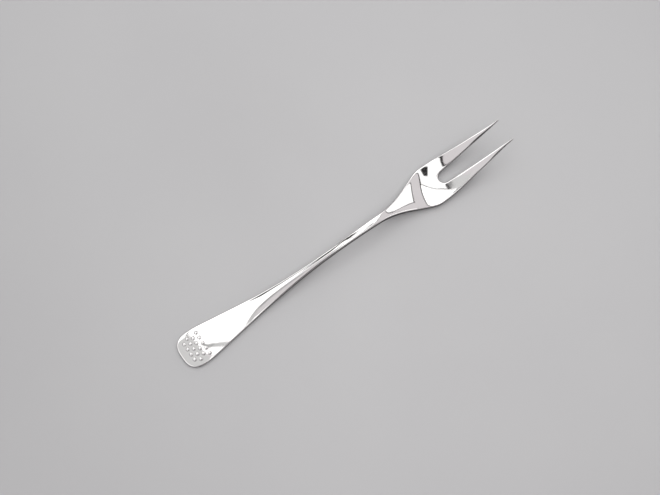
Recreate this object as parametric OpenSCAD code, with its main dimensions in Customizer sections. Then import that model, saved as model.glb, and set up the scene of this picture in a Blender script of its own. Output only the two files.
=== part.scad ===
// Two-tined meat fork, lying tines up on a table.
// Stations run from the end of the handle to the tips of the tines.
// The table is z = 0, the tips point along +X and the origin is under the middle of the length.

/* [Handle] */
// Length from the rounded end to the place where the taper has run out into the stem
handle_length = 88; // [60:1:110]
// Width of the handle at its widest
handle_width = 18; // [12:0.5:26]
// Distance of the widest place from the rounded end
handle_widest_at = 8.5; // [5:0.5:14]
// Squareness of the rounded end: 2 is an ellipse, more is squarer
end_squareness = 2.8; // [2:0.1:4]
// Thickness of the handle on its middle line
handle_thickness = 2.3; // [1.9:0.1:4]
// How far the edges of the handle's top lie below its middle
handle_crown = 0.85; // [0.1:0.05:1]
// How far the edges of the handle's underside lie above its middle
under_crown = 0.15; // [0.1:0.05:0.3]
// How far the top of the handle falls towards its rounded end
end_fall = 0.7; // [0:0.05:0.8]
// Length of the handle's top that falls towards the end
end_fall_length = 12.5; // [6:0.5:25]
// Length of the handle that lies flat on the table
handle_flat_length = 26; // [15:1:50]

/* [Stem] */
// Length of the stem from the handle to the neck
stem_length = 26; // [15:1:50]
// Width of the stem where it is narrowest
stem_width = 3; // [2.2:0.1:6]
// Depth of the stem from its crown to its underside
stem_depth = 3.8; // [2.4:0.1:6]
// How far the edges of the stem's top lie below its middle
stem_crown = 0.3; // [0.1:0.05:0.8]
// Width of the stem at the neck
neck_width = 3.7; // [3:0.1:8]
// Height of the stem's underside above the table at its crest
stem_rise = 5.2; // [2:0.1:15]
// Distance of the crest from the neck, towards the handle
crest_to_neck = 4; // [0:1:14]

/* [Head] */
// Length of the head from the neck to the roots of the tines
head_length = 40; // [34:1:60]
// Width of the head at its widest
head_width = 20.8; // [14:0.2:32]
// Length of the shoulders, from the neck to the widest place
shoulder_length = 32; // [20:1:33]
// Distance of the heel, where the head touches the table, from the neck
neck_to_heel = 27.5; // [16:0.5:32]
// Thickness of the head
head_thickness = 1.9; // [1.2:0.1:4]
// Depth of the dish across the head
dish_depth = 0.85; // [0.3:0.05:3]
// Distance of the dish's deepest place from the neck
neck_to_dish = 26; // [16:1:32]

/* [Tines] */
// Length of the tines from their roots to their tips
tine_length = 36; // [25:1:60]
// Width of the gap between the tines at their roots
gap_width = 6.1; // [4.5:0.1:10]
// Distance between the two tips
tip_spacing = 11.8; // [8:0.2:18]
// Width of a tip
tip_width = 0.7; // [0.4:0.1:1.5]
// Thickness of a tip
tip_thickness = 0.7; // [0.4:0.1:1.5]
// How far the edges of a tine lie below its middle at the tip, above and below
tip_crown = 0.12; // [0.05:0.01:0.15]
// Height of the tips above the table
tip_height = 13.4; // [6:0.1:25]
// Length of the curve from the heel into the tines
bend_length = 17; // [8:1:35]
// How far the tips curl up beyond the slope that the bend gives the tines
tip_curl = 2.6; // [0:0.1:4]

/* [Edges] */
// Radius along the edges of the handle, head and tines
edge_radius = 0.5; // [0.2:0.05:0.9]
// Radius along the edges of the stem
stem_edge_radius = 0.55; // [0.3:0.05:1.4]

/* [Beads] */
// Diameter of a bead
bead_diameter = 2; // [1:0.1:2.6]
// Height of a bead above the handle
bead_rise = 0.55; // [0.3:0.05:1.2]
// Depth of the flat seat that a bead is set in
bead_seat = 0.2; // [0.15:0.05:0.3]
// Distance between neighbouring beads
bead_pitch = 2.9; // [2.7:0.1:5]
// Distance of the first row of beads from the end of the handle
bead_start = 4.6; // [3.5:0.1:12]
// Number of rows of beads
bead_rows = 4; // [1:1:7]
// Clear metal between a bead and the edge of the handle
bead_margin = 0.9; // [0.6:0.1:3]

/* [Hidden] */

// Stations along the fork
neck_at = handle_length + stem_length;
crest_at = neck_at - crest_to_neck;
heel_at = neck_at + neck_to_heel;
widest_at = neck_at + shoulder_length;
dish_at = neck_at + neck_to_dish;
root_at = neck_at + head_length;
fork_length = root_at + tine_length;

// Metal that the table plane takes off the underside, which leaves the two flats that the fork rests on
rest_cut = 0.08;
// Length of the blunt land at the very end of the handle
end_land = 0.03;
// Greatest share of an edge's thickness, or of the width beside it, that its radius may take
edge_share = 0.4;
// Shares that the curves at the near and far end of each stretch of the outline take of its length
taper_ends = [0.08, 0.62];
neck_ends = [0.8, 0.1];
shoulder_ends = [0.55, 0.15];
tine_ends = [0.25, 0.15];
// The same shares for the rise to the crest, the fall to the heel and the run into the dish
rise_ends = [0.67, 0.28];
fall_ends = [0.31, 0.25];
dish_ends = [0.2, 0.05];
// Shares of the handle's length at which the metal starts and stops to thicken
thicken_shares = [0.36, 0.95];
// Length past the neck over which the stem's crown fades into the dish
crown_fade = 6;
// Slope of the tines where the bend ends
tine_slope = (tip_height - tip_thickness - tip_curl) / (fork_length - heel_at - bend_length / 2);
// Distance from one row of beads to the next, which staggers them evenly
bead_row_step = bead_pitch * sqrt(3) / 2;
// Radius of the sphere that a bead's dome is part of
bead_height = bead_rise + bead_seat;
bead_sphere_r = (pow(bead_diameter / 2, 2) + pow(bead_height, 2)) / (2 * bead_height);

// Columns across the faces, steps round an edge, and sections along each member
body_columns = 8;
tine_columns = 4;
edge_steps = 3;
end_sections = 8;
handle_sections = 24;
stem_sections = 10;
head_sections = 20;
tine_sections = 14;
metal = "gainsboro";

// Curves
function mix(a, b, q) = a + (b - a) * q;
function unit(q) = min(1, max(0, q));
function ease(q) = let (c = unit(q)) c * c * (3 - 2 * c);

// Straight slope with a parabola at each end, which take two shares of the way
function slope_with_ends(q, ends) =
    let (c = unit(q), a = ends[0], b = ends[1], v = 1 / (1 - a / 2 - b / 2))
    c < a ? v * c * c / (2 * a) :
    c < 1 - b ? v * (c - a / 2) :
    1 - v * pow(1 - c, 2) / (2 * b);

// Outline: half of the fork's width at a station
function half_width(s) =
    s < handle_widest_at ? end_half_width(max(s, end_land)) :
    s < handle_length ?
        mix(handle_width, stem_width, slope_with_ends(
            (s - handle_widest_at) / (handle_length - handle_widest_at), taper_ends)) / 2 :
    s < neck_at ?
        mix(stem_width, neck_width, slope_with_ends((s - handle_length) / stem_length, neck_ends)) / 2 :
    s < widest_at ?
        mix(neck_width, head_width, slope_with_ends((s - neck_at) / shoulder_length, shoulder_ends)) / 2 :
    mix(head_width, tip_spacing + tip_width, slope_with_ends(
        (s - widest_at) / (fork_length - widest_at), tine_ends)) / 2;

function end_half_width(s) =
    handle_width / 2 * pow(1 - pow(1 - s / handle_widest_at, end_squareness), 1 / end_squareness);

// Inner edge of a tine at a station
function tine_inner(s) = mix(gap_width, tip_spacing - tip_width, (s - root_at) / tine_length) / 2;

// Profile: height of the underside on the middle line
function underside(s) =
    s < crest_at ?
        stem_rise * slope_with_ends((s - handle_flat_length) / (crest_at - handle_flat_length), rise_ends) :
    s < heel_at ? stem_rise * (1 - slope_with_ends((s - crest_at) / (heel_at - crest_at), fall_ends)) :
    bend(s - heel_at) + tip_curl * pow(unit((s - heel_at - bend_length) / curl_length), 2);

function bend(d) =
    d < bend_length ? tine_slope * d * d / (2 * bend_length) : tine_slope * (d - bend_length / 2);
curl_length = fork_length - heel_at - bend_length;

// Share of the way from the handle to the full depth of the stem, and from the neck to the dish
function into_stem(s) =
    ease((s / handle_length - thicken_shares[0]) / (thicken_shares[1] - thicken_shares[0]));
function into_head(s) = ease((s - neck_at) / shoulder_length);

// Thickness on the middle line
function thickness(s) =
    s < neck_at ? mix(handle_thickness, stem_depth, into_stem(s)) :
    s < root_at ? mix(stem_depth, head_thickness, into_head(s)) :
    mix(head_thickness, tip_thickness, (s - root_at) / tine_length);

// Rise of the edges above the middle line in the dish
function dish(s) =
    s < dish_at ? dish_depth * slope_with_ends((s - neck_at) / neck_to_dish, dish_ends) :
    dish_depth * (1 - ease((s - dish_at) / (fork_length - dish_at)));

// Bulge of the middle line beyond the edges, which goes with the width from the stem to the handle
function bulge(s, on_handle) =
    let (w = half_width(min(neck_at, max(s, handle_widest_at))))
    mix(stem_crown, on_handle, (2 * w - stem_width) / (handle_width - stem_width))
        * (1 - ease((s - neck_at) / crown_fade));

// Rounding of the rim at the very end of the handle, limited by the metal there
end_radius = min(edge_radius, edge_share * (handle_thickness - end_fall));
function end_inset(s) =
    s < end_radius ? end_radius - sqrt(pow(end_radius, 2) - pow(end_radius - s, 2)) : 0;

// Fall of the handle's top towards its end
function end_drop(s) = end_fall * pow(1 - unit(s / end_fall_length), 2);

function across(s, y) = pow(y / half_width(max(s, handle_widest_at)), 2);
function top_z(s, y) =
    underside(s) - rest_cut + thickness(s) - end_inset(s) - end_drop(s)
        + (dish(s) - bulge(s, handle_crown)) * across(s, y);
function under_z(s, y) =
    underside(s) - rest_cut + end_inset(s) + (dish(s) + bulge(s, under_crown)) * across(s, y);

// Edge radius at a station, limited by the metal there: its width, and its thickness less both crowns
function edge_at(s, wide, crown) =
    let (stem_share = s < neck_at ? into_stem(s) : 1 - into_head(s))
    let (wanted = mix(edge_radius, stem_edge_radius, stem_share))
    let (edge = half_width(s), wall = top_z(s, edge) - under_z(s, edge) - 2 * crown)
    min(wanted, edge_share * wall, edge_share * wide);

// Section across the fork at a station: from the edge y0 to the edge y1, with edges of radius r,
// and with both faces bowed out by the crown
function section(s, y0, y1, r, columns, crown) =
    let (x = s - fork_length / 2, a = y0 + r, b = y1 - r, across_face = even_stations(0, 1, columns))
    let (top_a = top_z(s, a) - crown, top_b = top_z(s, b) - crown)
    let (under_a = under_z(s, a) + crown, under_b = under_z(s, b) + crown)
    let (to_side = [for (i = [1 : edge_steps]) 90 * i / edge_steps])
    let (from_side = [for (i = [0 : edge_steps - 1]) 90 * i / edge_steps])
    concat(
        [for (q = across_face) let (y = mix(a, b, q)) [x, y, top_z(s, y) - crown * bow(q)]],
        [for (t = to_side) [x, b + r * sin(t), top_b - r * (1 - cos(t))]],
        [for (t = from_side) [x, b + r * cos(t), under_b + r * (1 - sin(t))]],
        [for (q = across_face) let (y = mix(b, a, q)) [x, y, under_z(s, y) + crown * bow(q)]],
        [for (t = to_side) [x, a - r * sin(t), under_a + r * (1 - cos(t))]],
        [for (t = from_side) [x, a - r * cos(t), top_a - r * (1 - sin(t))]]
    );

// 0 in the middle of a face and 1 at its edges
function bow(q) = pow(2 * q - 1, 2);

function body_section(s) =
    let (w = half_width(s))
    section(s, -w, w, edge_at(s, w, 0), body_columns, 0);

function tine_section(s) =
    let (inner = tine_inner(s), outer = half_width(s), crown = tip_crown * (s - root_at) / tine_length)
    section(s, inner, outer, edge_at(s, outer - inner, crown), tine_columns, crown);

function even_stations(from, to, count) = [for (i = [0 : count]) mix(from, to, i / count)];

// Solid skin through a list of sections
module skin(sections) {
    ring = len(sections[0]);
    last = len(sections) - 1;
    sides = [
        for (i = [0 : last - 1], j = [0 : ring - 1])
            let (k = (j + 1) % ring)
            each [
                [i * ring + j, i * ring + k, (i + 1) * ring + k],
                [i * ring + j, (i + 1) * ring + k, (i + 1) * ring + j]
            ]
    ];
    near_cap = [for (j = [ring - 1 : -1 : 0]) j];
    far_cap = [for (j = [0 : ring - 1]) last * ring + j];
    polyhedron(points = [for (s = sections) each s], faces = concat([near_cap], sides, [far_cap]));
}

// Everything below the table plane
module below_table() {
    translate([-fork_length, -fork_length, -fork_length])
        cube([2 * fork_length, 2 * fork_length, fork_length]);
}

// Places of the beads: staggered rows that keep clear of the edges
bead_reach = bead_diameter / 2 + bead_margin;
bead_spots = [
    for (row = [0 : bead_rows - 1])
        let (s = bead_start + row * bead_row_step, shift = row % 2 == 0 ? 0.5 : 0)
        let (reach = half_width(s) - bead_reach, side = ceil(reach / bead_pitch) + 1)
        for (k = [-side : side])
            let (y = (k + shift) * bead_pitch)
            if (abs(y) <= reach) [s - fork_length / 2, y, top_z(s, y) - bead_seat]
];

module handle() {
    ends = [for (i = [0 : end_sections - 1]) handle_widest_at * (1 - cos(90 * i / end_sections))];
    stations = concat(ends, even_stations(handle_widest_at, handle_length, handle_sections));
    color(metal)
        difference() {
            skin([for (s = stations) body_section(s)]);
            below_table();
            for (spot = bead_spots)
                translate(spot) cylinder(d = bead_diameter, h = handle_thickness, $fn = 48);
        }
}

module stem() {
    color(metal)
        skin([for (s = even_stations(handle_length, neck_at, stem_sections)) body_section(s)]);
}

module head() {
    color(metal)
        difference() {
            skin([for (s = even_stations(neck_at, root_at, head_sections)) body_section(s)]);
            below_table();
            translate([root_at - fork_length / 2, 0, 0])
                cylinder(d = gap_width, h = fork_length, center = true, $fn = 96);
        }
}

module tine() {
    color(metal)
        skin([for (s = even_stations(root_at, fork_length, tine_sections)) tine_section(s)]);
}

module tine_left() {
    tine();
}

module tine_right() {
    mirror([0, 1, 0]) tine();
}

module beads() {
    color("silver")
        for (spot = bead_spots)
            translate(spot)
                intersection() {
                    translate([0, 0, bead_height - bead_sphere_r]) sphere(r = bead_sphere_r, $fn = 48);
                    cylinder(d = bead_diameter, h = bead_height, $fn = 48);
                }
}

handle();
stem();
head();
tine_left();
tine_right();
beads();
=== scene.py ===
# %% [markdown]
# # A silver meat fork
# The fork lies tines up on a grey table. The CAD part gives its sizes and its place, and this lesson gives it
# the smooth, polished skin of the real object. Everything is in metres, in the frame of the CAD part: the
# tines point along X and the table is at height 0.

# %% Load the CAD part
import math
import bmesh
import bpy
from mathutils import Matrix, Vector


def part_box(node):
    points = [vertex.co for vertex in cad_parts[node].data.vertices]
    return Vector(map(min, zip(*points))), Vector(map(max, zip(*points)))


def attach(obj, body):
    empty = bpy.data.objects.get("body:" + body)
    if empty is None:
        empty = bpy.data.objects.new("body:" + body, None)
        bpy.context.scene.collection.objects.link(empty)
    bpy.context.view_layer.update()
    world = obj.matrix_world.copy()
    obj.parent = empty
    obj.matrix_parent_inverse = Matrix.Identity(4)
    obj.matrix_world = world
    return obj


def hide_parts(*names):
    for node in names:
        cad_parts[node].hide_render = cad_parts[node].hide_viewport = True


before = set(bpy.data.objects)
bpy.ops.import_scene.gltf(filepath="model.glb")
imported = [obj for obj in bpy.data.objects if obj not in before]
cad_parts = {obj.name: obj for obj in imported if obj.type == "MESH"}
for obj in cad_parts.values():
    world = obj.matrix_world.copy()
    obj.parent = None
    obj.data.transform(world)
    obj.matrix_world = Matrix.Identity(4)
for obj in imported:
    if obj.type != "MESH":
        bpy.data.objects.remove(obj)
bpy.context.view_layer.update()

mm = 0.001

# %% [markdown]
# ## Sizes that come from the CAD part
# A fork like this is forged from one bar of silver. The CAD part keeps its members apart, so their boxes tell
# where the handle runs out into the stem, where the neck is and how wide each member gets. Reading them here
# keeps the skin and the solids the same size. A station is a distance along the fork from the handle's end.

# %% Read the members' boxes
handle_low, handle_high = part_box("handle")
stem_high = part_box("stem")[1]
head_low, head_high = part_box("head")
tine_low, tine_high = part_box("tine_left")
end_x = handle_low.x
handle_length = (handle_high.x - end_x) / mm
neck_at = (head_low.x - end_x) / mm
root_at = (tine_low.x - end_x) / mm
fork_length = (tine_high.x - end_x) / mm
handle_width = 2 * handle_high.y / mm
neck_width = 2 * stem_high.y / mm
head_width = 2 * head_high.y / mm
gap_width = 2 * tine_low.y / mm
print("stations, mm:", [round(s, 1) for s in (handle_length, neck_at, root_at, fork_length)])
print("widths, mm:", [round(w, 1) for w in (handle_width, neck_width, head_width, gap_width)])

# %% [markdown]
# ## The outline
# Seen from above, the fork is a rounded end, a long taper, a thin stem, a shoulder and two tines. Each stretch
# is a straight slope with a soft curve at both ends, which is how a smith's file runs one width into the next.
# A function for half of the width is enough, because the fork is the same on both sides. The pairs named soft
# say how much of a stretch is spent on the curve at its near end and at its far end.

# %% Half of the width at a station
widest_at, end_squareness = 8.5, 2.8
stem_width, shoulder_length = 3.0, 32.0
tip_spacing, tip_width = 11.8, 0.7
handle_soft, stem_soft, shoulder_soft, tine_soft = (0.08, 0.62), (0.8, 0.1), (0.55, 0.15), (0.25, 0.15)
shoulder_at = neck_at + shoulder_length

def mix(a, b, share):
    return a + (b - a) * share

def ease(share):
    share = min(1.0, max(0.0, share))
    return share * share * (3 - 2 * share)

def soft_slope(share, near, far):
    share = min(1.0, max(0.0, share))
    speed = 1 / (1 - near / 2 - far / 2)
    if share < near:
        return speed * share * share / (2 * near)
    if share < 1 - far:
        return speed * (share - near / 2)
    return 1 - speed * (1 - share) ** 2 / (2 * far)

def half_width(s):
    if s < widest_at:
        way = 1 - max(s, 0.0) / widest_at
        return handle_width / 2 * (1 - way ** end_squareness) ** (1 / end_squareness)
    if s < handle_length:
        way = (s - widest_at) / (handle_length - widest_at)
        return mix(handle_width, stem_width, soft_slope(way, *handle_soft)) / 2
    if s < neck_at:
        way = (s - handle_length) / (neck_at - handle_length)
        return mix(stem_width, neck_width, soft_slope(way, *stem_soft)) / 2
    if s < shoulder_at:
        way = (s - neck_at) / shoulder_length
        return mix(neck_width, head_width, soft_slope(way, *shoulder_soft)) / 2
    way = (s - shoulder_at) / (fork_length - shoulder_at)
    return mix(head_width, tip_spacing + tip_width, soft_slope(way, *tine_soft)) / 2

def tine_inner(s):
    return mix(gap_width, tip_spacing - tip_width, (s - root_at) / (fork_length - root_at)) / 2

print("half widths, mm:", [round(half_width(s), 2) for s in (2, 30, 60, 100, 125, 146, 170)])

# %% [markdown]
# ## The side view
# From the side, the handle lies flat, the stem arches up, the heel of the head comes down to the table and the
# tines rise to their tips. Across, the handle and stem are crowned and the head is a shallow dish. A polished
# surface shows every change of slope, so heights come from smooth functions and not from hand-placed points.

# %% Heights of the top and the underside
flat_length, crest_at, heel_at, dish_at = 26.0, neck_at - 4, neck_at + 27.5, neck_at + 26
stem_rise, bend_length, tip_curl, tip_height, tip_thickness = 5.2, 17.0, 2.6, 13.4, 0.7
handle_thickness, stem_depth, head_thickness = 2.3, 3.8, 1.9
handle_crown, under_crown, stem_crown, dish_depth, tine_round = 0.85, 0.15, 0.3, 0.85, 0.42
thicken_from, thicken_to, crown_fade = 0.36 * handle_length, 0.95 * handle_length, 6.0
end_fall, end_fall_length, rest_cut = 0.7, 12.5, 0.08
rise_soft, drop_soft, dish_soft = (0.67, 0.28), (0.31, 0.25), (0.2, 0.05)
tine_slope = (tip_height - tip_thickness - tip_curl) / (fork_length - heel_at - bend_length / 2)

def underside(s):
    if s < crest_at:
        return stem_rise * soft_slope((s - flat_length) / (crest_at - flat_length), *rise_soft)
    if s < heel_at:
        return stem_rise * (1 - soft_slope((s - crest_at) / (heel_at - crest_at), *drop_soft))
    run = s - heel_at
    if run < bend_length:
        return tine_slope * run * run / (2 * bend_length)
    curl = tip_curl * ((run - bend_length) / (fork_length - heel_at - bend_length)) ** 2
    return tine_slope * (run - bend_length / 2) + curl

def into_stem(s):
    return ease((s - thicken_from) / (thicken_to - thicken_from))

def into_head(s):
    return ease((s - neck_at) / shoulder_length)

def along_tine(s):
    return max(0.0, (s - root_at) / (fork_length - root_at))

def thickness(s):
    if s < neck_at:
        return mix(handle_thickness, stem_depth, into_stem(s))
    if s < root_at:
        return mix(stem_depth, head_thickness, into_head(s))
    return mix(head_thickness, tip_thickness, along_tine(s))

def dish(s):
    if s < dish_at:
        return dish_depth * soft_slope((s - neck_at) / (dish_at - neck_at), *dish_soft)
    return dish_depth * (1 - ease((s - dish_at) / (fork_length - dish_at)))

def bulge(s, on_handle):
    width_share = (2 * half_width(min(neck_at, max(s, widest_at))) - stem_width) / (handle_width - stem_width)
    return mix(stem_crown, on_handle, width_share) * (1 - ease((s - neck_at) / crown_fade))

def across(s, y):
    return (y / half_width(max(s, widest_at))) ** 2

def tine_bow(s, y):
    if s <= root_at:
        return 0.0
    inner, outer = tine_inner(s), half_width(s)
    round_here = tine_round * along_tine(s) ** 2
    return round_here * (abs(y) - (inner + outer) / 2) ** 2 / ((outer - inner) / 2)

def top_z(s, y):
    fall = end_fall * (1 - min(1.0, max(0.0, s) / end_fall_length)) ** 2
    camber = (dish(s) - bulge(s, handle_crown)) * across(s, y)
    return underside(s) - rest_cut + thickness(s) + camber - fall - tine_bow(s, y)

def under_z(s, y):
    camber = (dish(s) + bulge(s, under_crown)) * across(s, y)
    return max(0.0, underside(s) - rest_cut + camber + tine_bow(s, y))

print("tops, mm:", [round(top_z(s, 0), 2) for s in (6, 30, 60, 108, 138, 170, 190)])

# %% [markdown]
# ## The blank
# The top of the fork starts as a flat grid, one half of the plan. Its rows run across the fork and its columns
# run along it. The first row bends round the handle's end, and the inner column turns round the bottom of the
# gap, so no row ends in a pinched point that would show in the polish. The grid stops short of the outline by
# the edge's radius, because the edge is rolled over in the next step.

# %% Lay out half of the plan
edge_radius, stem_edge_radius, tip_radius = 0.5, 0.55, 0.26
wall_share, room_share = 0.45, 0.75
corner_at, end_zone, columns = 1.9, 20, 6
first_station, slope_step = 0.05, 0.1

def edge_at(s):
    wanted = mix(edge_radius, stem_edge_radius, into_stem(s) if s < neck_at else 1 - into_head(s))
    edge = half_width(max(s, first_station))
    wall = top_z(s, edge) - under_z(s, edge)
    room = edge if s < root_at else (edge - tine_inner(s)) / 2
    return min(wanted, wall_share * wall, room_share * room)

def outer_point(s):
    inset = edge_at(s)
    if s < widest_at:
        way = 1 - s / widest_at
        deep = (1 - way ** end_squareness) ** (1 / end_squareness)
        return Vector((widest_at - (widest_at - inset) * way, (handle_width / 2 - inset) * deep, 0))
    lean = (half_width(s + slope_step) - half_width(s - slope_step)) / (2 * slope_step)
    return Vector((s, half_width(s) - inset * math.hypot(1, lean), 0))

gap_radius = gap_width / 2 + edge_radius
gap_bottom = root_at - gap_radius
gap_turn = gap_radius * math.pi / 2

def inner_point(path):
    if path < gap_bottom:
        return Vector((path, 0, 0))
    if path < gap_bottom + gap_turn:
        angle = (path - gap_bottom) / gap_radius
        return Vector((root_at - gap_radius * math.cos(angle), gap_radius * math.sin(angle), 0))
    s = root_at + path - gap_bottom - gap_turn
    return Vector((s, tine_inner(s) + edge_at(s), 0))

tip_row_at = fork_length - tip_radius
path_end = gap_bottom + gap_turn + tip_row_at - root_at
# A landmark is a station on the outline, a distance along the inner column, and the rows from the one before it.
landmarks = [
    (corner_at, edge_radius, 0), (9, 8, 4), (16, 16, 4), (34, 34, 7), (88, 88, 20),
    (neck_at, neck_at, 12), (126, 126, 7), (146, gap_bottom, 12),
    (root_at - 0.4, gap_bottom + gap_turn, 5), (tip_row_at, path_end, 16)]
rows = [landmarks[0][:2]]
for (outer_a, inner_a, _), (outer_b, inner_b, count) in zip(landmarks, landmarks[1:]):
    rows += [(mix(outer_a, outer_b, k / count), mix(inner_a, inner_b, k / count))
             for k in range(1, count + 1)]
blank = bmesh.new()
bmesh.ops.create_grid(blank, x_segments=len(rows) - 1, y_segments=columns, size=0.5)
bend_of_end = outer_point(corner_at)
for vert in blank.verts:
    outer_s, inner_path = rows[round((vert.co.x + 0.5) * (len(rows) - 1))]
    share = vert.co.y + 0.5
    inner, outer = inner_point(inner_path), outer_point(outer_s)
    vert.co = inner.lerp(outer, share)
    if outer.x > inner.x and inner.x < end_zone:
        beside = share * bend_of_end.y / (handle_width / 2 - edge_radius)
        reach = 1 - (1 - beside ** end_squareness) ** (1 / end_squareness)
        bow = reach * (widest_at - edge_radius) / (bend_of_end.x - edge_radius)
        vert.co.x = mix(inner.x, outer.x, bow)
print("rows and columns of half the blank:", len(rows), columns + 1)

# %% [markdown]
# The second half is a mirror of the first, joined along the middle line. A few passes of smoothing, with the
# outline held still, open out the cramped corners by the handle's end and the bottom of the gap.

# %% Mirror the half and relax the crowded corners
merge_distance, relax_passes = 1e-4, 30
end_crowd, gap_crowd_from, gap_crowd_to = 14, 138, 162
half = blank.verts[:] + blank.edges[:] + blank.faces[:]
bmesh.ops.mirror(blank, geom=half, axis="Y", merge_dist=merge_distance)
bmesh.ops.remove_doubles(blank, verts=blank.verts, dist=merge_distance)
bmesh.ops.recalc_face_normals(blank, faces=blank.faces)
loose = [v for v in blank.verts if not v.is_boundary
         and (v.co.x < end_crowd or gap_crowd_from < v.co.x < gap_crowd_to)]
for _ in range(relax_passes):
    bmesh.ops.smooth_vert(blank, verts=loose, factor=0.5,
                          use_axis_x=True, use_axis_y=True, use_axis_z=False)
if sum(face.normal.z for face in blank.faces) < 0:
    bmesh.ops.reverse_faces(blank, faces=blank.faces)
print("blank:", len(blank.verts), "vertices,", len(blank.faces), "faces")

# %% [markdown]
# ## Rolling the edge over
# The edge of the real fork is filed and polished to a small radius. Here the outline is extruded outwards three
# times, and each new ring goes a third of the way from level to upright. A copy of this top, turned over and
# set to the underside's heights, is the lower half, and bridging the two rims makes the side wall.

# %% Extrude the rim, copy the half and bridge the two rims
roll_steps = 3
source = blank.verts.layers.float_vector.new("source")
for vert in blank.verts:
    vert[source] = (vert.co.x, vert.co.y, 0)
rim = [e for e in blank.edges if e.is_boundary]
outward = {}
for vert in {v for e in rim for v in e.verts}:
    ways = [(e.other_vert(vert).co - vert.co).normalized() for e in vert.link_edges if e.is_boundary]
    along = (ways[0] - ways[1]).normalized()
    side = Vector((along.y, -along.x, 0))
    middle = sum((f.calc_center_median() for f in vert.link_faces), Vector()) / len(vert.link_faces)
    outward[vert] = side if side.dot(vert.co - middle) > 0 else -side
for step in range(1, roll_steps + 1):
    angle = math.pi / 2 * step / roll_steps
    made = bmesh.ops.extrude_edge_only(blank, edges=rim)["geom"]
    new_ring = [g for g in made if isinstance(g, bmesh.types.BMVert)]
    moved = {}
    for vert in new_ring:
        parent = next(e.other_vert(vert) for e in vert.link_edges if e.other_vert(vert) in outward)
        x, y, _ = parent[source]
        radius = edge_at(x)
        vert[source] = (x, y, radius * (1 - math.cos(angle)))
        vert.co = Vector((x, y, 0)) + outward[parent] * radius * math.sin(angle)
        moved[vert] = outward[parent]
    outward = moved
    rim = [e for e in blank.edges if e.is_boundary]
bmesh.ops.recalc_face_normals(blank, faces=blank.faces)
if sum(face.normal.z * face.calc_area() for face in blank.faces) < 0:
    bmesh.ops.reverse_faces(blank, faces=blank.faces)
upper = blank.verts[:] + blank.edges[:] + blank.faces[:]
lower = bmesh.ops.duplicate(blank, geom=upper)["geom"]
lower_verts = {g for g in lower if isinstance(g, bmesh.types.BMVert)}
bmesh.ops.reverse_faces(blank, faces=[g for g in lower if isinstance(g, bmesh.types.BMFace)])
for vert in blank.verts:
    x, y, drop = vert[source]
    vert.co.z = under_z(x, y) + drop if vert in lower_verts else top_z(x, y) - drop
bmesh.ops.bridge_loops(blank, edges=[e for e in blank.edges if e.is_boundary])
bmesh.ops.recalc_face_normals(blank, faces=blank.faces)
print("open edges left:", sum(e.is_boundary for e in blank.edges))
print("volume, cm3:", round(blank.calc_volume() / 1000, 2))

# %% [markdown]
# ## Helpers for materials
# A colour picker gives a colour as a hex code, and Blender calculates in linear light, so the first function
# turns one into the other. The second adds a node, sets its values and links its inputs in one line. The third
# starts a material and hands back its nodes.

# %% Helpers for colours, nodes and materials
def linear(hex_colour):
    parts = [int(hex_colour[i:i + 2], 16) / 255 for i in (1, 3, 5)]
    return [c / 12.92 if c <= 0.04045 else ((c + 0.055) / 1.055) ** 2.4 for c in parts] + [1.0]

def add_node(tree, kind, links=None, **settings):
    node = tree.nodes.new(kind)
    for name, value in settings.items():
        setattr(node, name, value)
    for socket, value in (links or {}).items():
        if isinstance(value, bpy.types.NodeSocket):
            tree.links.new(value, node.inputs[socket])
        else:
            node.inputs[socket].default_value = value
    return node

def new_material(name):
    material = bpy.data.materials.new(name)
    material.use_nodes = True
    return material, material.node_tree, material.node_tree.nodes["Principled BSDF"]

print("half grey in linear light:", round(linear("#808080")[0], 3))

# %% [markdown]
# ## Polished silver
# Sterling silver that is buffed to a mirror is almost white, and it shows the room more than itself. Up close
# it has fine hairlines from the buffing wheel, soft smears where fingers were, and a duller rub where it rests.
# The base colour is the metal's own, and noise at the real sizes of those marks moves roughness and bump.

# %% Polished silver for the forged fork
hairline_spacing, hairline_length, hairline_depth, smear_size = 0.12 * mm, 9 * mm, 0.004 * mm, 14 * mm
rub_height, rub_dullness = 0.5 * mm, 0.16
clean_roughness, smeared_roughness = 0.035, 0.075
silver, tree, shader = new_material("polished sterling silver")
where = add_node(tree, "ShaderNodeTexCoord").outputs["Object"]
along = add_node(tree, "ShaderNodeMapping", {
    "Vector": where, "Scale": (hairline_spacing / hairline_length, 1, 1)})
hairlines = add_node(tree, "ShaderNodeTexNoise", {
    "Vector": along.outputs["Vector"], "Scale": 1 / hairline_spacing, "Detail": 2.0})
smears = add_node(tree, "ShaderNodeTexNoise", {"Vector": where, "Scale": 1 / smear_size, "Detail": 3.0})
height = add_node(tree, "ShaderNodeSeparateXYZ", {"Vector": where}).outputs["Z"]
rubbed = add_node(tree, "ShaderNodeMapRange", {
    "Value": height, "From Min": rub_height, "From Max": 0.0, "To Min": 0.0, "To Max": rub_dullness})
polish = add_node(tree, "ShaderNodeMapRange", {
    "Value": smears.outputs["Fac"], "From Min": 0.35, "From Max": 0.7,
    "To Min": clean_roughness, "To Max": smeared_roughness})
dull = add_node(tree, "ShaderNodeMath", {
    0: polish.outputs["Result"], 1: rubbed.outputs["Result"]}, operation="ADD")
tone = add_node(tree, "ShaderNodeMix", {
    "Factor": smears.outputs["Fac"], "A": linear("#F7F6F5"), "B": linear("#EFEDEC")}, data_type="RGBA")
grooves = add_node(tree, "ShaderNodeBump", {
    "Height": hairlines.outputs["Fac"], "Strength": 0.05, "Distance": hairline_depth})
tree.links.new(tone.outputs["Result"], shader.inputs["Base Color"])
tree.links.new(dull.outputs["Value"], shader.inputs["Roughness"])
tree.links.new(grooves.outputs["Normal"], shader.inputs["Normal"])
shader.inputs["Metallic"].default_value = 1.0
print("silver nodes:", len(tree.nodes))

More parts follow.
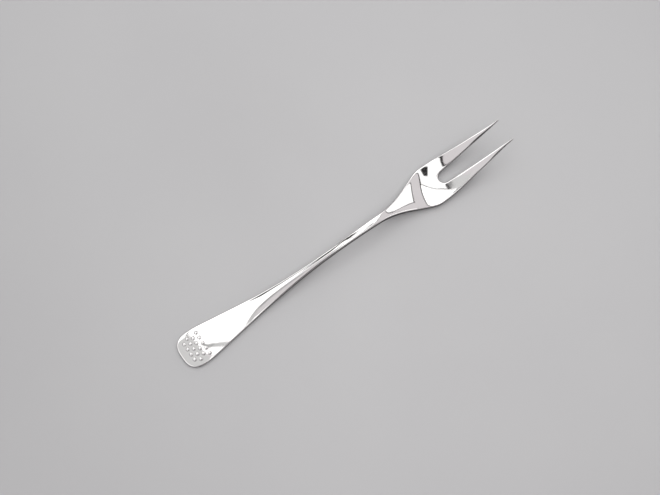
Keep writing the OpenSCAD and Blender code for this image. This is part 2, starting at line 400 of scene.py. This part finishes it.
# %% [markdown]
# ## The forged fork
# The blank becomes an object in metres. Two levels of subdivision turn its flats into the flowing surface that
# forging, filing and polishing leave.

# %% Make the forged fork
def add_piece(name, mesh_data, material, subdivision):
    mesh = bpy.data.meshes.new(name)
    mesh_data.to_mesh(mesh)
    mesh_data.free()
    for polygon in mesh.polygons:
        polygon.use_smooth = True
    piece = bpy.data.objects.new(name, mesh)
    bpy.context.scene.collection.objects.link(piece)
    mesh.materials.append(material)
    smooth = piece.modifiers.new("subdivision", "SUBSURF")
    smooth.levels = smooth.render_levels = subdivision
    return piece

blank.verts.layers.float_vector.remove(source)
bmesh.ops.scale(blank, vec=(mm, mm, mm), verts=blank.verts)
bmesh.ops.translate(blank, vec=(end_x, 0, 0), verts=blank.verts)
fork = add_piece("fork_forging", blank, silver, 2)
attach(fork, "root")
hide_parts("handle", "stem", "head", "tine_left", "tine_right")
print("forging:", len(fork.data.polygons), "faces before subdivision")

# %% [markdown]
# ## Bead silver
# Silver grains that are soldered on can be buffed only on their crowns. Their feet are rougher and painted
# darker: the dark grey is painted shade in the crevice round each foot, with a little tarnish that polish leaves
# there. A value on each point, 0 on the crown and 1 at the foot, steers both, so they follow every bead.

# %% Silver for the beads
grain_size, pit_depth = 0.35 * mm, 0.01 * mm
crown_roughness, foot_roughness = 0.05, 0.4
bead_silver, tree, shader = new_material("soldered silver grain")
where = add_node(tree, "ShaderNodeTexCoord").outputs["Object"]
grain = add_node(tree, "ShaderNodeTexNoise", {"Vector": where, "Scale": 1 / grain_size, "Detail": 2.0})
foot = add_node(tree, "ShaderNodeAttribute", attribute_name="foot")
foot_shade_and_tarnish = add_node(tree, "ShaderNodeMath", {
    0: foot.outputs["Fac"], 1: grain.outputs["Fac"]}, operation="MULTIPLY", use_clamp=True)
# The dark grey at each foot is painted shade for the crevice, with a little tarnish.
tone = add_node(tree, "ShaderNodeMix", {
    "Factor": foot_shade_and_tarnish.outputs["Value"], "A": linear("#F5F4F3"), "B": linear("#4A4646")}, data_type="RGBA")
dull = add_node(tree, "ShaderNodeMapRange", {
    "Value": foot_shade_and_tarnish.outputs["Value"], "To Min": crown_roughness, "To Max": foot_roughness})
pits = add_node(tree, "ShaderNodeBump", {
    "Height": grain.outputs["Fac"], "Strength": 0.06, "Distance": pit_depth})
tree.links.new(tone.outputs["Result"], shader.inputs["Base Color"])
tree.links.new(dull.outputs["Result"], shader.inputs["Roughness"])
tree.links.new(pits.outputs["Normal"], shader.inputs["Normal"])
shader.inputs["Metallic"].default_value = 1.0
print("bead silver nodes:", len(tree.nodes))

# %% [markdown]
# ## Places of the beads
# The handle's end carries staggered rows of small round beads. The CAD beads say where each one sits. They come
# as one mesh of loose triangles, so a copy is merged, and the points that hang together are gathered bead by
# bead. The corners of each group give one bead's place, radius and height. Sorting keeps their order the same
# in every run.

# %% Find the CAD beads
seats = bmesh.new()
seats.from_mesh(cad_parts["beads"].data)
bmesh.ops.remove_doubles(seats, verts=seats.verts, dist=1e-6)
left, spots = set(seats.verts), []
while left:
    island, edge_of_island = set(), [left.pop()]
    while edge_of_island:
        vert = edge_of_island.pop()
        island.add(vert)
        near = {e.other_vert(vert) for e in vert.link_edges} & left
        left -= near
        edge_of_island += near
    corners = [[f(v.co[i] for v in island) for i in range(3)] for f in (min, max)]
    spots.append((Vector(corners[0]), Vector(corners[1])))
seats.free()
spots.sort(key=lambda spot: tuple(spot[0]))
bead_radius = (spots[0][1].x - spots[0][0].x) / 2
bead_height = spots[0][1].z - spots[0][0].z
print("beads:", len(spots), "radius and height, mm:", round(bead_radius / mm, 2), round(bead_height / mm, 2))

# %% [markdown]
# ## Beads
# A real bead is a molten grain of silver: a dome with a narrow fillet of solder round its foot. Its side view is
# a few points joined by edges, and a full spin makes the body. The first bead is a pattern: a copy of it goes to
# every place, and then the pattern itself is deleted.

# %% Spin one bead and set a copy at every place
bead_seat, fillet, foot_shade_height = 0.15 * mm, 0.16 * mm, 0.45 * mm
fillet_bend = 0.3 * fillet
dome_angle, dome_steps, bead_sides = math.radians(80), 6, 20
dome_angles = [dome_angle * k / dome_steps for k in range(dome_steps + 1)]
side_view = [(bead_radius * math.sin(a), bead_height * math.cos(a)) for a in dome_angles]
side_view += [(bead_radius + fillet_bend, bead_seat + fillet_bend), (bead_radius + fillet, bead_seat),
              (bead_radius + fillet, 0.0), (0.0, 0.0)]
bead = bmesh.new()
line = [bead.verts.new((r, 0, z)) for r, z in side_view]
for a, b in zip(line, line[1:]):
    bead.edges.new((a, b))
bmesh.ops.spin(bead, geom=bead.verts[:] + bead.edges[:], cent=(0, 0, 0), axis=(0, 0, 1),
               angle=2 * math.pi, steps=bead_sides, use_merge=True)
bmesh.ops.remove_doubles(bead, verts=bead.verts, dist=1e-7)
bmesh.ops.recalc_face_normals(bead, faces=bead.faces)
# The foot value is 1 at the seat and falls to 0 up the dome; it places the painted shade and tarnish.
foot_of_bead = bead.verts.layers.float.new("foot")
for vert in bead.verts:
    vert[foot_of_bead] = 1 - ease((vert.co.z - bead_seat) / foot_shade_height)
pattern = bead.verts[:] + bead.edges[:] + bead.faces[:]
for low, high in spots:
    copy = bmesh.ops.duplicate(bead, geom=pattern)["geom"]
    place = Vector(((low.x + high.x) / 2, (low.y + high.y) / 2, low.z))
    bmesh.ops.translate(bead, vec=place, verts=[g for g in copy if isinstance(g, bmesh.types.BMVert)])
bmesh.ops.delete(bead, geom=[g for g in pattern if isinstance(g, bmesh.types.BMVert)], context="VERTS")
beads = add_piece("beads_soldered", bead, bead_silver, 1)
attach(beads, "root")
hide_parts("beads")
print("bead faces before subdivision:", len(beads.data.polygons))

# %% [markdown]
# ## Camera
# The photograph looks steeply down on the fork, with its length on a slant. A long lens keeps the proportions
# calm. The camera stands on a sphere round a point near the middle of the fork.

# %% Set up the camera
elevation, azimuth, distance = math.radians(76), math.radians(35.2553), 0.75187
lens, sensor_width = 85.0, 36.0
aim = Vector((-6.53 * mm, 3.58 * mm, 0))
right = Vector((math.cos(azimuth), -math.sin(azimuth), 0))
away = Vector((math.sin(azimuth), math.cos(azimuth), 0))
up = Vector((0, 0, 1))
back = up * math.sin(elevation) - away * math.cos(elevation)
camera = bpy.data.objects.new("camera", bpy.data.cameras.new("camera"))
bpy.context.scene.collection.objects.link(camera)
camera.data.lens = lens
camera.data.sensor_width = sensor_width
camera.location = aim + back * distance
camera.rotation_euler = back.to_track_quat("Z", "Y").to_euler()
bpy.context.scene.camera = camera
print("camera at, mm:", [round(c / mm, 1) for c in camera.location])

# %% [markdown]
# ## Table
# The fork lies on a plain grey table. A trace of noise keeps the grey from looking like a screen. The grey gets
# deeper with the distance from the fork: that is painted falloff of the light, a pool of light painted round the
# fork. In mirrored rays the table is painted darker, a painted reflection that keeps the edges of the polished
# metal crisp where they look down.

# %% Lay the table
table_half, table_drop, mottle_size, painted_falloff_radius = 1.5, 0.05 * mm, 60 * mm, 0.6
table_grey, tree, shader = new_material("matt grey table")
where = add_node(tree, "ShaderNodeTexCoord").outputs["Object"]
mottle = add_node(tree, "ShaderNodeTexNoise", {"Vector": where, "Scale": 1 / mottle_size, "Detail": 4.0})
reach = add_node(tree, "ShaderNodeMapping", {
    "Vector": where, "Scale": (1 / painted_falloff_radius, 1 / painted_falloff_radius, 0.0)})
# Painted falloff of the light: the table's colour darkens away from the fork in place of a pool of light.
painted_light_falloff = add_node(tree, "ShaderNodeTexGradient", {"Vector": reach.outputs["Vector"]}, gradient_type="SPHERICAL")
near_tone = add_node(tree, "ShaderNodeMix", {
    "Factor": mottle.outputs["Fac"], "A": linear("#C5C5C6"), "B": linear("#C9C9C9")}, data_type="RGBA")
tone = add_node(tree, "ShaderNodeMix", {
    "Factor": painted_light_falloff.outputs["Fac"], "A": linear("#909091"), "B": near_tone.outputs["Result"]}, data_type="RGBA")
# Painted reflection: the table is painted darker in mirrored rays only, which draws dark lines on the metal's lower
# edges.
mirrored = add_node(tree, "ShaderNodeLightPath").outputs["Is Glossy Ray"]
tone_with_painted_reflection = add_node(tree, "ShaderNodeMix", {
    "Factor": mirrored, "A": tone.outputs["Result"], "B": linear("#5A595A")}, data_type="RGBA")
tree.links.new(tone_with_painted_reflection.outputs["Result"], shader.inputs["Base Color"])
shader.inputs["Roughness"].default_value = 0.85
shader.inputs["Specular IOR Level"].default_value = 0.1

def add_stage(name, mesh_data, material):
    mesh = bpy.data.meshes.new(name)
    mesh_data.to_mesh(mesh)
    mesh_data.free()
    thing = bpy.data.objects.new(name, mesh)
    bpy.context.scene.collection.objects.link(thing)
    mesh.materials.append(material)
    return thing

top = bmesh.new()
bmesh.ops.create_grid(top, x_segments=1, y_segments=1, size=table_half)
bmesh.ops.translate(top, vec=(0, 0, -table_drop), verts=top.verts)
table = add_stage("table", top, table_grey)
print("table, m:", [round(c, 2) for c in table.dimensions])

# %% [markdown]
# ## Studio light
# Polished metal is lit by what it mirrors, so a silversmith's studio hangs large soft panels over the piece and
# sets dark cloth beside them to draw its edges. Each sheet here is cut from a big square by straight edges. An
# edge has a heading in degrees, with 0 to the viewer's right and 90 away from the viewer, and a distance from the
# middle for one step of height. The sheets show only in the metal and as light, never straight to the camera.

# %% Two helpers: one cuts a sheet, one makes a sheet glow
sheet_reach = 2.5
black_cloth, _, shader = new_material("black cloth")
shader.inputs["Base Color"].default_value = linear("#464445")
shader.inputs["Roughness"].default_value = 0.95

def heading_to(angle):
    return right * math.cos(math.radians(angle)) + away * math.sin(math.radians(angle))

def cut_sheet(name, height, edges, material):
    sheet = bmesh.new()
    bmesh.ops.create_grid(sheet, x_segments=1, y_segments=1, size=sheet_reach * height)
    bmesh.ops.translate(sheet, vec=aim + up * height, verts=sheet.verts)
    for angle, offset in edges:
        inward = heading_to(angle)
        everything = sheet.verts[:] + sheet.edges[:] + sheet.faces[:]
        on_edge = aim + (up + inward * offset) * height
        bmesh.ops.bisect_plane(sheet, geom=everything, dist=1e-6, plane_co=on_edge, plane_no=inward,
                               clear_inner=True)
    hung = add_stage(name, sheet, material)
    hung.visible_camera = False
    return hung

def new_glow(name, strength):
    glow, tree, _ = new_material(name + " glow")
    light = add_node(tree, "ShaderNodeEmission", {"Color": linear("#FFFFFF"), "Strength": strength})
    tree.links.new(light.outputs["Emission"], tree.nodes["Material Output"].inputs["Surface"])
    return glow

def hang_panel(name, height, strength, edges):
    return cut_sheet(name, height, edges, new_glow(name, strength))

print("heading 0:", [round(c, 3) for c in heading_to(0)], "heading 90:", [round(c, 3) for c in heading_to(90)])

# %% [markdown]
# The widest panel hangs high over the handle and makes its face white. Two more stand over the shoulder and the
# bowl of the head, and the open space between them is the grey band across the shoulder. A cloth a little larger
# than a panel, hung just above it, shows as a thin dark line round that panel's reflection.

# %% Hang the large panels and their frames
panels = [
    hang_panel("panel_over", 5.6, 1.6, [(58.1, -0.019), (179.6, -0.185), (-13, -1.3), (-90, -1.3)]),
    hang_panel("panel_corner", 5.6, 1.6, [(238.1, 0.031), (0, 0.1), (179.6, -0.185), (90, -0.3)]),
    hang_panel("panel_near", 0.3, 1.2, [(23.3, 0.081), (-95.5, -0.348), (-175, -0.341), (90, 0.0)]),
    hang_panel("panel_side", 1.27, 1.3, [(-0.4, 0.603), (-57.6, -0.479), (180, -1.3), (90, -0.1)])]
frames = [
    cut_sheet("over_frame", 5.65, [(58.1, -0.019), (179.6, -0.215), (0, 0.0), (-90, -1.3)], black_cloth),
    cut_sheet("near_frame", 0.302, [(23.3, 0.053), (-95.5, -0.36), (-175, -0.366), (90, 0.0)], black_cloth),
    cut_sheet("side_frame", 1.28, [(-0.4, 0.568), (-57.6, -0.514), (180, -1.3), (90, -0.1)], black_cloth)]
print("large panels:", len(panels), "frames:", len(frames))

# %% [markdown]
# Small cards do the fine work. A black card over the bowl gives the one dark shape in it, grey cards calm the root
# of the right tine and the handle's end, and white cards clear stray marks from the neck and the stem. Narrow
# strips draw the lines that run along the handle and the stem, so that the eye can read how the metal is crowned.
# The lower a card hangs, the shorter the stretch of the fork that mirrors it.

# %% Hang the cards and strips
cards = [
    cut_sheet("dark_card", 0.2955, [(0, 0.166), (111.5, 0.009), (-90, -0.191), (215.5, -0.2946)], black_cloth),
    hang_panel("grey_card", 0.304, 0.67, [(203.3, -0.053), (90, 0.24), (-90, -0.385), (0, -0.16)]),
    hang_panel("neck_card", 0.12, 1.2, [(0, 0.34), (180, -0.5), (-90, 0.04), (90, -0.5)]),
    hang_panel("end_card", 0.31, 1.6, [(0, -0.9), (180, 0.6), (90, 0.15), (-90, -0.42)]),
    hang_panel("end_grey_card", 0.309, 0.67, [(218.2, 0.255), (38.2, -0.55), (128.2, -0.24), (308.2, -0.58)]),
    hang_panel("stem_card", 0.119, 1.2, [(0, -0.02), (180, -0.115), (90, 0.09), (-90, -0.37)])]
strips = [
    cut_sheet("upper_strip", 5.55, [(71, 0.265), (251, -0.375), (180, 0.37), (0, -0.57)], black_cloth),
    cut_sheet("stem_strip", 0.12, [(100, 0.17), (280, -0.47), (0, -0.46), (180, 0.22)], black_cloth),
    cut_sheet("stem_strip_end", 0.121, [(47.5, 0.15), (227.5, -0.32), (0, -0.8), (180, 0.07)], black_cloth),
    hang_panel("lower_strip", 0.3125, 0.36, [(49.2, -0.193), (229.2, 0.17), (0, -0.3), (180, 0.15)]),
    hang_panel("lower_strip_end", 0.3125, 0.55, [(49.2, -0.189), (229.2, 0.172), (0, -0.15), (180, -0.03)])]
print("cards:", len(cards), "strips:", len(strips))

# %% [markdown]
# The rolled edges look sideways, so they mirror what stands round the table and not what hangs above it. Two
# upright panels behind and to the left put the bright line on the upper edges. A last panel hangs in front, where
# the slope of the handle's end looks. It lights the metal only and leaves the table as it is.

# %% Set up the panels behind, to the left and in front
def stand_panel(name, heading, distance, width, low, high, strength):
    sheet = bmesh.new()
    bmesh.ops.create_grid(sheet, x_segments=1, y_segments=1, size=0.5)
    bmesh.ops.scale(sheet, vec=(width, high - low, 1), verts=sheet.verts)
    bmesh.ops.rotate(sheet, matrix=Matrix.Rotation(math.pi / 2, 3, "X"), verts=sheet.verts)
    toward = heading_to(heading)
    bmesh.ops.rotate(sheet, matrix=toward.to_track_quat("Y", "Z").to_matrix(), verts=sheet.verts)
    bmesh.ops.translate(sheet, vec=aim + toward * distance + up * (low + high) / 2, verts=sheet.verts)
    stood = add_stage(name, sheet, new_glow(name, strength))
    stood.visible_camera = False
    return stood

panel_back = stand_panel("panel_back", heading=132, distance=1.2, width=1.3, low=0.25, high=0.95, strength=1.2)
panel_left = stand_panel("panel_left", heading=172, distance=1.2, width=0.5, low=0.78, high=1.55, strength=1.2)
panel_front = hang_panel("panel_front", 1.0, 1.2, [(215, 0.38), (35, -1.8), (125, -0.7), (305, -0.7)])
panel_front.visible_diffuse = False
for panel in (panel_back, panel_left, panel_front):
    print(panel.name, "m:", [round(c, 2) for c in panel.dimensions])

# %% [markdown]
# ## Table light
# One wide, soft lamp over the table sets how bright the table is and gives the fork its faint, soft shadow. It is
# hidden from mirrored rays, because its square outline would show in the polish.

# %% Hang the table lamp
lamp_size, lamp_power, lamp_height = 2.4, 10.3, 1.2
lamp_away, lamp_left = 0.1, 0.04
lamp = bpy.data.objects.new("table_lamp", bpy.data.lights.new("table_lamp", "AREA"))
bpy.context.scene.collection.objects.link(lamp)
lamp.data.size, lamp.data.energy = lamp_size, lamp_power
lamp.location = aim + up * lamp_height + away * lamp_away - right * lamp_left
lamp.rotation_euler = (lamp.location - aim).to_track_quat("Z", "Y").to_euler()
lamp.visible_glossy = False
print("lamp, W:", lamp.data.energy, "at, m:", [round(c, 2) for c in lamp.location])

# %% [markdown]
# ## The room
# The room is a pale, warm grey, which is what the tops of the tines mirror. One part of it, in front of the table
# and well above it, is dark, as a studio's unlit side is, and it draws the lower edges of the metal. All of this is
# made from the direction alone. Straight to the camera the room is a plain grey backdrop, so low views end calmly.

# %% Paint the room
sky_from, sky_to = 0.56, 0.62
side_heading, side_from, side_to = 20, 0.35, 0.5
low_from, low_to = 0.42, 0.34
world = bpy.data.worlds.new("studio")
bpy.context.scene.world = world
world.use_nodes = True
tree = world.node_tree
direction = add_node(tree, "ShaderNodeTexCoord").outputs["Generated"]
lean = away * 0.6 + up * 0.8
upward = add_node(tree, "ShaderNodeVectorMath", {0: direction, 1: lean}, operation="DOT_PRODUCT")
sky = add_node(tree, "ShaderNodeMapRange", {
    "Value": upward.outputs["Value"], "From Min": sky_from, "From Max": sky_to})
sideways = add_node(tree, "ShaderNodeVectorMath", {
    0: direction, 1: heading_to(side_heading)}, operation="DOT_PRODUCT")
off_side = add_node(tree, "ShaderNodeMath", {0: sideways.outputs["Value"]}, operation="ABSOLUTE")
beside = add_node(tree, "ShaderNodeMapRange", {
    "Value": off_side.outputs["Value"], "From Min": side_from, "From Max": side_to})
level = add_node(tree, "ShaderNodeSeparateXYZ", {"Vector": direction}).outputs["Z"]
below = add_node(tree, "ShaderNodeMapRange", {"Value": level, "From Min": low_from, "From Max": low_to})
around = add_node(tree, "ShaderNodeMath", {
    0: beside.outputs["Result"], 1: below.outputs["Result"]}, operation="MAXIMUM")
pale = add_node(tree, "ShaderNodeMath", {
    0: sky.outputs["Result"], 1: around.outputs["Value"]}, operation="MAXIMUM")
grey = add_node(tree, "ShaderNodeMix", {
    "Factor": pale.outputs["Value"], "A": linear("#4A4849"), "B": linear("#DCD8DA")}, data_type="RGBA")
straight = add_node(tree, "ShaderNodeLightPath").outputs["Is Camera Ray"]
backdrop = add_node(tree, "ShaderNodeMix", {
    "Factor": straight, "A": grey.outputs["Result"], "B": linear("#A4A4A5")}, data_type="RGBA")
tree.links.new(backdrop.outputs["Result"], tree.nodes["Background"].inputs["Color"])
bpy.context.scene.view_settings.view_transform = "Standard"
print("room nodes:", len(tree.nodes))
